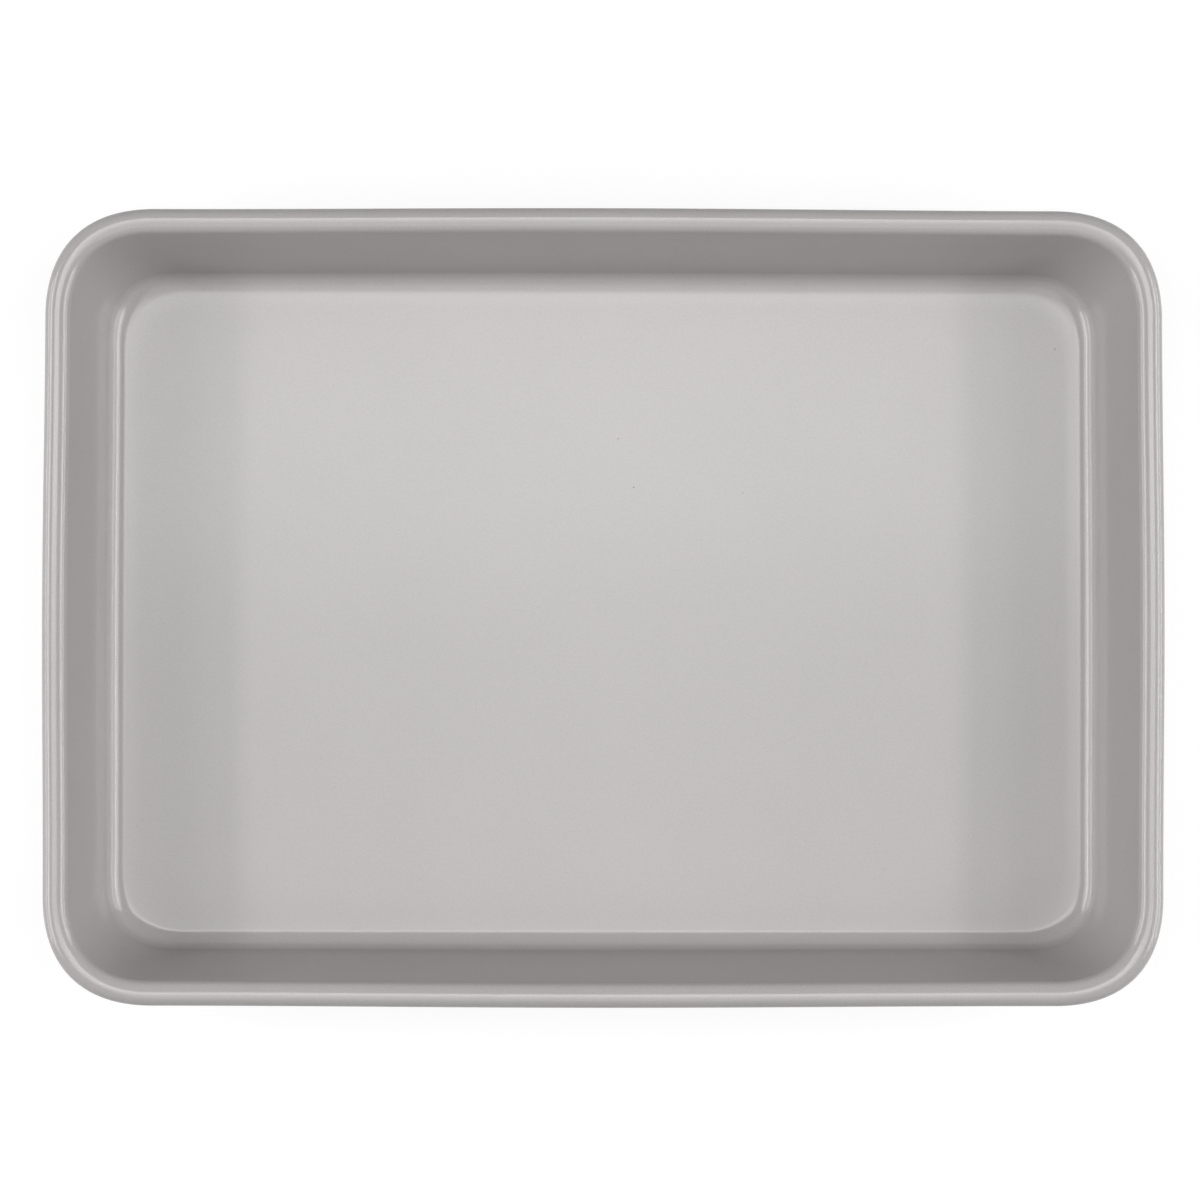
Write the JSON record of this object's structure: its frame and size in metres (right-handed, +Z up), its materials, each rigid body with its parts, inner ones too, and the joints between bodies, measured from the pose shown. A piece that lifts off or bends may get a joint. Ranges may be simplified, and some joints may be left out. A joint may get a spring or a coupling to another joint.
{
  "type": "rectangular cake pan",
  "caption": "Deep rectangular baking pan with rounded corners, leaning walls and an outward rolled rim wired for stiffness, for baking and serving sheet cakes.",
  "frame": {"origin": "middle of the flat underside", "axes": "+X along the pan's length, +Y across its width, +Z up out of the open top"},
  "size_m": [0.348, 0.248, 0.051],
  "materials": {
    "coated_steel": "satin light grey non-stick coating on carbon steel sheet",
    "steel_wire": "drawn mild steel wire, bare"
  },
  "bodies": {
    "root": {"pan_shell": "coated_steel", "rim_wire": "steel_wire"}
  },
  "joints": []
}
